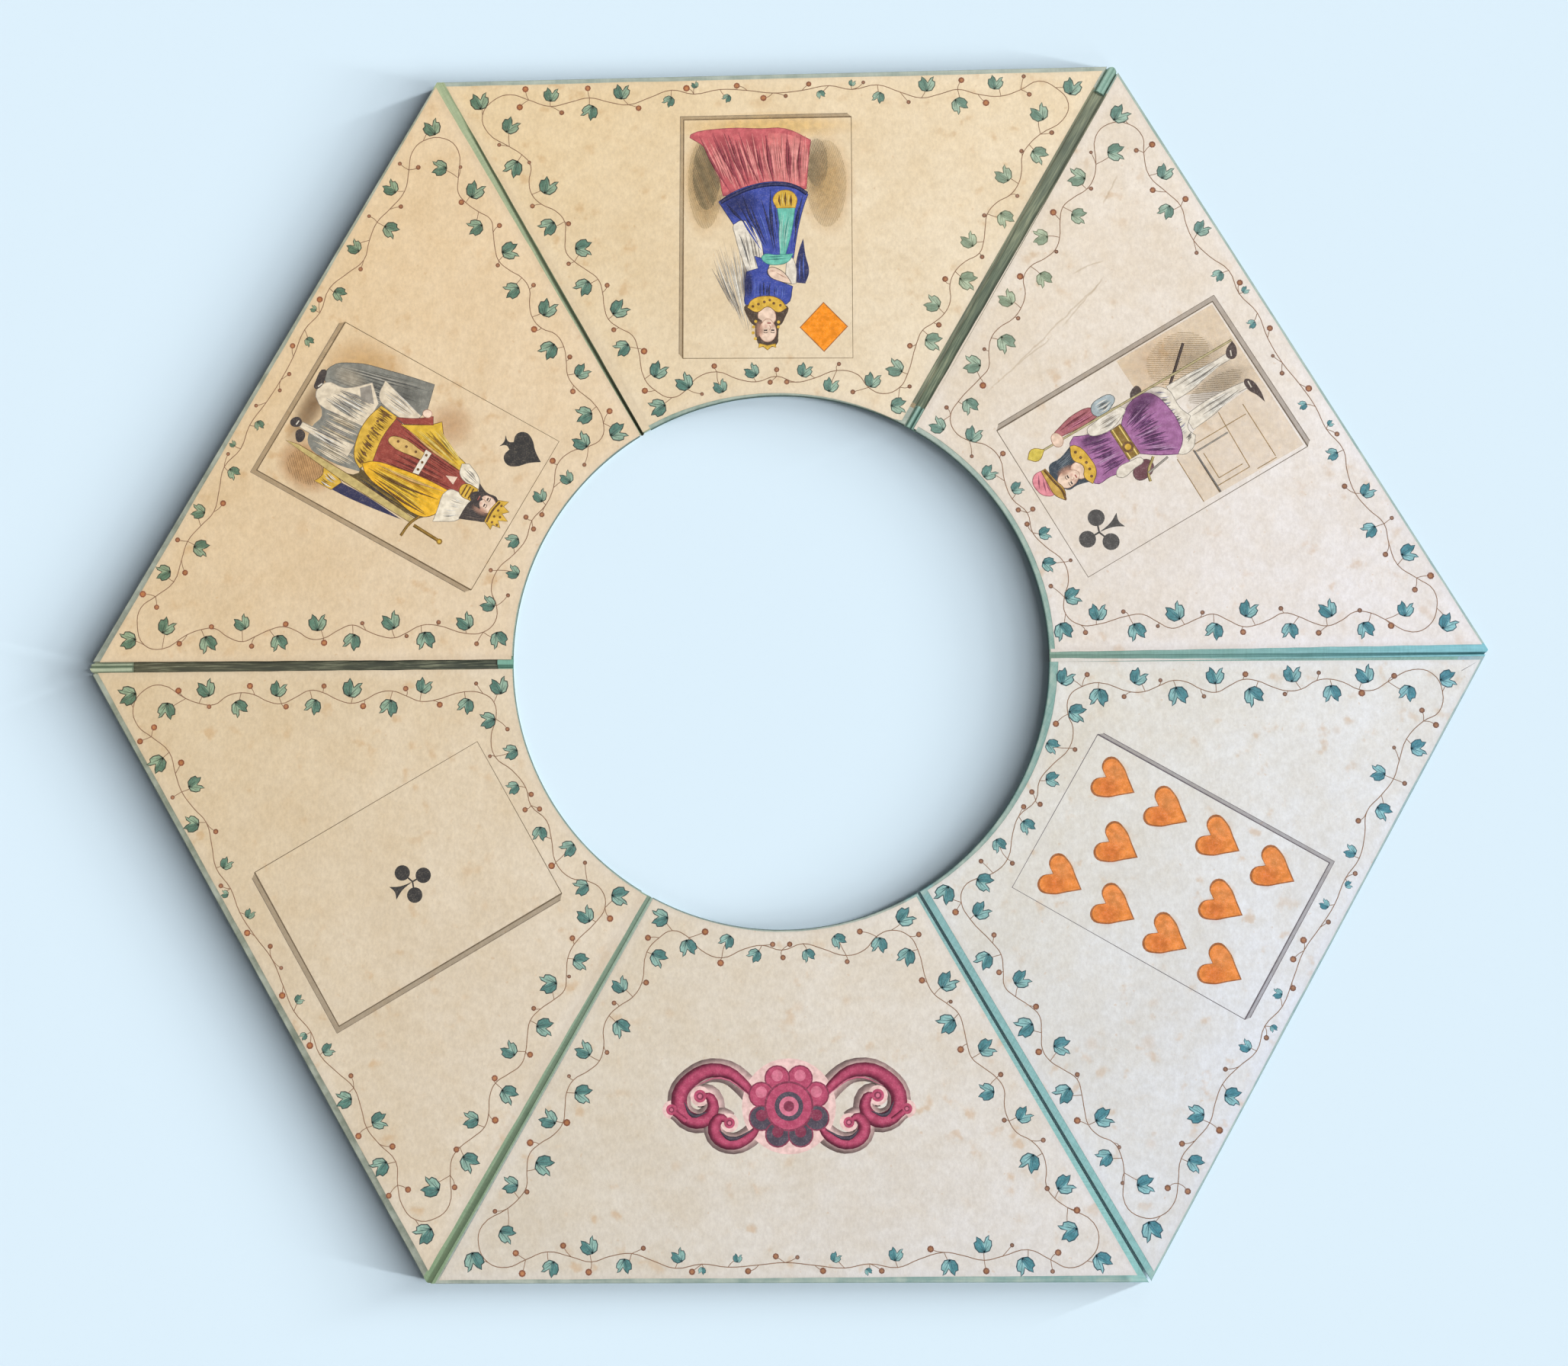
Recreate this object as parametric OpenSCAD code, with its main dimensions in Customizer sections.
// Folding ring board for the parlour card game bog.
// Six pasteboard panels lie edge to edge round an open middle. Each panel is
// bound in book cloth along its outer edge and its hollow inner edge, and has a
// printed paper on the face and a plain paper on the back. Five cloth spines
// join neighbouring panels, on the back and on the face by turns, so the board
// folds zig-zag into a stack of six. The sixth seam is left open.
// Millimetres. Z up, table top at z = 0, origin in the middle of the ring,
// +Y towards the queen panel.

/* [Board] */
// Length of one outer side of the hexagon
side = 250; // [200:1:320]
// Radius of the open middle
hole_r = 95.8; // [70:0.1:110]

/* [Sheets] */
// Thickness of the pasteboard core
core_t = 1.9; // [1.2:0.1:3]
// Thickness of the face paper and of the back paper
paper_t = 0.15; // [0.1:0.05:0.3]
// Thickness of the book cloth
cloth_t = 0.2; // [0.15:0.05:0.3]
// Thickness of the lining strip inside a spine
lining_t = 0.15; // [0.1:0.05:0.15]

/* [Seams] */
// Room left between the faces of two folded panels
fold_air = 0.3; // [0.2:0.05:1]
// Distance from a core's edge to the crease of its spine
crease_in = 0.3; // [0.3:0.05:0.6]
// Width of the open seam between the two bound edges
open_gap = 1.0; // [0.9:0.1:3]
// Width of a spine's wing, pasted down under the paper
wing_w = 10; // [5:0.5:20]
// Length of the cloth turned in at each end of a spine
tab_len = 9; // [4:0.5:20]

/* [Bindings] */
// Width of cloth turned over an outer edge or an open-seam edge
turn_outer = 8; // [4:0.5:15]
// Width of cloth turned over the hollow inner edge
turn_arc = 7; // [4:0.5:15]
// Cloth left showing between the face paper and an outer edge
rim_outer = 0.9; // [0.3:0.1:3]
// The same on the title panel
rim_title = 2.2; // [0.3:0.1:3.5]
// Cloth left showing between the face paper and the inner edge
rim_arc = 1.0; // [0.3:0.1:3]
// The same on the jack and ten panels
rim_arc_wide = 2.4; // [0.3:0.1:3.5]
// Cloth left showing beside the open seam on the title panel
rim_open_title = 1.9; // [0.3:0.1:3.5]
// Cloth left showing beside the open seam on the ten panel
rim_open_ten = 2.8; // [0.3:0.1:3.5]
// Cloth left showing round the back paper
rim_back = 3; // [1:0.5:3.5]
// Gap between a paper's edge and the core's edge along a spine
paper_back_off = 0.15; // [0.1:0.05:1]

/* [Hidden] */
$fn = 96;
// Kinds of side: bound free edge, spine cloth on the back, spine cloth on the face
FREE = 0;
BACK = 1;
FACE = 2;

thick = core_t + 2 * paper_t;
core_z0 = paper_t;
core_z1 = paper_t + core_t;
apothem = side * cos(30);
crease_z = paper_t + cloth_t;
crease_x = thick - crease_z + fold_air / 2;
seam_gap = 2 * (crease_x + crease_in);
spine_half = crease_x - 0.05;
spine_in = hole_r + 0.1;
spine_out = side - 0.5774 * spine_half - 0.1;
plan_y0 = hole_r * 0.7;

// Turn of each panel about Z, the outer edge of the queen panel lying along +Y
turn_queen = 0;
turn_king = 60;
turn_ace = 120;
turn_title = 180;
turn_ten = 240;
turn_jack = 300;

// Direction of each seam from the middle of the ring
seam_jack = 60;
seam_king = 120;
seam_ace = 180;
seam_title = 240;
seam_ten = 0;

function core_inset(kind) = kind == FREE ? open_gap / 2 + cloth_t : seam_gap / 2;
function top_cut(kind) = kind == FACE ? wing_w : kind == FREE ? turn_outer : 0;
function bottom_cut(kind) = kind == BACK ? wing_w : kind == FREE ? turn_outer : 0;

// Half width of a panel at distance y from the middle, set in by d from its seam
function reach(y, d) = y * tan(30) - d / cos(30);

// Wedge of the hexagon between two seams, from y0 to y1, set in by dl and dr
module wedge(dl, dr, y0, y1, z0, z1)
    translate([0, 0, z0])
    linear_extrude(z1 - z0)
    polygon([[-reach(y0, dl), y0], [reach(y0, dr), y0],
             [reach(y1, dr), y1], [-reach(y1, dl), y1]]);

// Panel plan: a wedge with a hollow arc on the inside
module plan(dl, dr, outer_in, arc_r, z0, z1)
    difference() {
        wedge(dl, dr, plan_y0, apothem - outer_in, z0, z1);
        translate([0, 0, z0 - 1]) cylinder(r = arc_r, h = z1 - z0 + 2);
    }

// Strip along the right side of a panel, from d0 to d1 off the seam
module side_strip(d0, d1, outer_in, arc_r, z0, z1)
    difference() {
        translate([0, 0, z0])
        linear_extrude(z1 - z0)
        polygon([[reach(plan_y0, d1), plan_y0], [reach(plan_y0, d0), plan_y0],
                 [reach(apothem - outer_in, d0), apothem - outer_in],
                 [reach(apothem - outer_in, d1), apothem - outer_in]]);
        translate([0, 0, z0 - 1]) cylinder(r = arc_r, h = z1 - z0 + 2);
    }

// Pasteboard, thinned along its margins where cloth is turned over it
module core(turn, left, right)
    color([0.62, 0.55, 0.44])
    rotate([0, 0, turn])
    union() {
        plan(core_inset(left), core_inset(right), cloth_t, hole_r + cloth_t,
             core_z0 + cloth_t, core_z1 - cloth_t);
        plan(core_inset(left) + top_cut(left), core_inset(right) + top_cut(right),
             turn_outer, hole_r + turn_arc, core_z1 - cloth_t, core_z1);
        plan(core_inset(left) + bottom_cut(left), core_inset(right) + bottom_cut(right),
             turn_outer, hole_r + turn_arc, core_z0, core_z0 + cloth_t);
    }

// Printed paper, pasted over the turned-in cloth
module face_paper(turn, left, right, outer_rim, arc_rim, open_rim)
    color([0.92, 0.85, 0.73])
    rotate([0, 0, turn])
    plan(left == FREE ? open_gap / 2 + open_rim : seam_gap / 2 + paper_back_off,
         right == FREE ? open_gap / 2 + open_rim : seam_gap / 2 + paper_back_off,
         outer_rim, hole_r + arc_rim, core_z1, thick);

// Plain paper that the board rests on
module back_paper(turn, left, right)
    color([0.25, 0.38, 0.36])
    rotate([0, 0, turn])
    plan(left == FREE ? open_gap / 2 + rim_back : seam_gap / 2 + paper_back_off,
         right == FREE ? open_gap / 2 + rim_back : seam_gap / 2 + paper_back_off,
         rim_back, hole_r + rim_back, 0, paper_t);

// Cloth folded round the outer edge
module outer_binding(turn, left, right)
    color([0.49, 0.76, 0.71])
    rotate([0, 0, turn])
    difference() {
        wedge(core_inset(left), core_inset(right), apothem - turn_outer, apothem, core_z0, core_z1);
        wedge(-5, -5, apothem - turn_outer - 1, apothem - cloth_t,
              core_z0 + cloth_t, core_z1 - cloth_t);
    }

// Cloth folded round the hollow inner edge
module arc_binding(turn, left, right)
    color([0.49, 0.76, 0.71])
    rotate([0, 0, turn])
    difference() {
        intersection() {
            wedge(core_inset(left), core_inset(right), plan_y0, hole_r * 1.4, core_z0, core_z1);
            cylinder(r = hole_r + turn_arc, h = thick);
        }
        translate([0, 0, -1]) cylinder(r = hole_r, h = thick + 2);
        translate([0, 0, core_z0 + cloth_t])
        difference() {
            cylinder(r = hole_r + turn_arc + 1, h = core_t - 2 * cloth_t);
            translate([0, 0, -1]) cylinder(r = hole_r + cloth_t, h = core_t + 2);
        }
    }

// Wing of a spine cloth, pasted on the core under the paper
module wing(turn, kind, right_side)
    color([0.49, 0.76, 0.71])
    rotate([0, 0, turn])
    mirror([right_side ? 0 : 1, 0, 0])
    side_strip(seam_gap / 2, seam_gap / 2 + wing_w, turn_outer, hole_r + turn_arc,
               kind == FACE ? core_z1 - cloth_t : core_z0,
               kind == FACE ? core_z1 : core_z0 + cloth_t);

// Cloth folded round an edge at the open seam
module edge_binding(turn, right_side)
    color([0.49, 0.76, 0.71])
    rotate([0, 0, turn])
    mirror([right_side ? 0 : 1, 0, 0])
    union() {
        side_strip(open_gap / 2, open_gap / 2 + cloth_t, 0, hole_r, core_z0, core_z1);
        side_strip(open_gap / 2, open_gap / 2 + cloth_t + turn_outer,
                   turn_outer, hole_r + turn_arc, core_z1 - cloth_t, core_z1);
        side_strip(open_gap / 2, open_gap / 2 + cloth_t + turn_outer,
                   turn_outer, hole_r + turn_arc, core_z0, core_z0 + cloth_t);
    }

// Places a spine modelled with its cloth underneath
module on_seam(angle, kind)
    rotate([0, 0, angle])
    translate([0, 0, kind == FACE ? thick : 0])
    mirror([0, 0, kind == FACE ? 1 : 0])
    children();

// Free part of a spine cloth between its two creases, with its ends turned in
module spine_cloth(angle, kind)
    color([0.49, 0.76, 0.71])
    on_seam(angle, kind)
    union() {
        translate([spine_in, -spine_half, core_z0])
            cube([spine_out - spine_in, 2 * spine_half, cloth_t]);
        translate([spine_in, -spine_half, core_z0])
            cube([tab_len, 2 * spine_half, 2 * cloth_t]);
        translate([spine_out - tab_len, -spine_half, core_z0])
            cube([tab_len, 2 * spine_half, 2 * cloth_t]);
    }

// Paper strip pasted inside a spine between the turned-in ends
module spine_lining(angle, kind)
    color([0.35, 0.40, 0.34])
    on_seam(angle, kind)
    translate([spine_in + tab_len, -spine_half, core_z0 + cloth_t])
        cube([spine_out - spine_in - 2 * tab_len, 2 * spine_half, lining_t]);

module queen_core() core(turn_queen, FACE, BACK);
module queen_face_paper() face_paper(turn_queen, FACE, BACK, rim_outer, rim_arc, 0);
module queen_back_paper() back_paper(turn_queen, FACE, BACK);
module queen_outer_binding() outer_binding(turn_queen, FACE, BACK);
module queen_arc_binding() arc_binding(turn_queen, FACE, BACK);
module queen_wing_left() wing(turn_queen, FACE, false);
module queen_wing_right() wing(turn_queen, BACK, true);

module king_core() core(turn_king, BACK, FACE);
module king_face_paper() face_paper(turn_king, BACK, FACE, rim_outer, rim_arc, 0);
module king_back_paper() back_paper(turn_king, BACK, FACE);
module king_outer_binding() outer_binding(turn_king, BACK, FACE);
module king_arc_binding() arc_binding(turn_king, BACK, FACE);
module king_wing_left() wing(turn_king, BACK, false);
module king_wing_right() wing(turn_king, FACE, true);

module ace_core() core(turn_ace, FACE, BACK);
module ace_face_paper() face_paper(turn_ace, FACE, BACK, rim_outer, rim_arc, 0);
module ace_back_paper() back_paper(turn_ace, FACE, BACK);
module ace_outer_binding() outer_binding(turn_ace, FACE, BACK);
module ace_arc_binding() arc_binding(turn_ace, FACE, BACK);
module ace_wing_left() wing(turn_ace, FACE, false);
module ace_wing_right() wing(turn_ace, BACK, true);

module title_core() core(turn_title, FREE, FACE);
module title_face_paper() face_paper(turn_title, FREE, FACE, rim_title, rim_arc, rim_open_title);
module title_back_paper() back_paper(turn_title, FREE, FACE);
module title_outer_binding() outer_binding(turn_title, FREE, FACE);
module title_arc_binding() arc_binding(turn_title, FREE, FACE);
module title_wing_right() wing(turn_title, FACE, true);
module title_edge_binding() edge_binding(turn_title, false);

module ten_core() core(turn_ten, FACE, FREE);
module ten_face_paper() face_paper(turn_ten, FACE, FREE, rim_outer, rim_arc_wide, rim_open_ten);
module ten_back_paper() back_paper(turn_ten, FACE, FREE);
module ten_outer_binding() outer_binding(turn_ten, FACE, FREE);
module ten_arc_binding() arc_binding(turn_ten, FACE, FREE);
module ten_wing_left() wing(turn_ten, FACE, false);
module ten_edge_binding() edge_binding(turn_ten, true);

module jack_core() core(turn_jack, BACK, FACE);
module jack_face_paper() face_paper(turn_jack, BACK, FACE, rim_outer, rim_arc_wide, 0);
module jack_back_paper() back_paper(turn_jack, BACK, FACE);
module jack_outer_binding() outer_binding(turn_jack, BACK, FACE);
module jack_arc_binding() arc_binding(turn_jack, BACK, FACE);
module jack_wing_left() wing(turn_jack, BACK, false);
module jack_wing_right() wing(turn_jack, FACE, true);

// Each spine is named after the panel it carries, counted away from the queen
module jack_spine_cloth() spine_cloth(seam_jack, BACK);
module jack_spine_lining() spine_lining(seam_jack, BACK);
module ten_spine_cloth() spine_cloth(seam_ten, FACE);
module ten_spine_lining() spine_lining(seam_ten, FACE);
module king_spine_cloth() spine_cloth(seam_king, FACE);
module king_spine_lining() spine_lining(seam_king, FACE);
module ace_spine_cloth() spine_cloth(seam_ace, BACK);
module ace_spine_lining() spine_lining(seam_ace, BACK);
module title_spine_cloth() spine_cloth(seam_title, FACE);
module title_spine_lining() spine_lining(seam_title, FACE);

queen_core();
queen_face_paper();
queen_back_paper();
queen_outer_binding();
queen_arc_binding();
queen_wing_left();
queen_wing_right();
king_core();
king_face_paper();
king_back_paper();
king_outer_binding();
king_arc_binding();
king_wing_left();
king_wing_right();
ace_core();
ace_face_paper();
ace_back_paper();
ace_outer_binding();
ace_arc_binding();
ace_wing_left();
ace_wing_right();
title_core();
title_face_paper();
title_back_paper();
title_outer_binding();
title_arc_binding();
title_wing_right();
title_edge_binding();
ten_core();
ten_face_paper();
ten_back_paper();
ten_outer_binding();
ten_arc_binding();
ten_wing_left();
ten_edge_binding();
jack_core();
jack_face_paper();
jack_back_paper();
jack_outer_binding();
jack_arc_binding();
jack_wing_left();
jack_wing_right();
jack_spine_cloth();
jack_spine_lining();
ten_spine_cloth();
ten_spine_lining();
king_spine_cloth();
king_spine_lining();
ace_spine_cloth();
ace_spine_lining();
title_spine_cloth();
title_spine_lining();
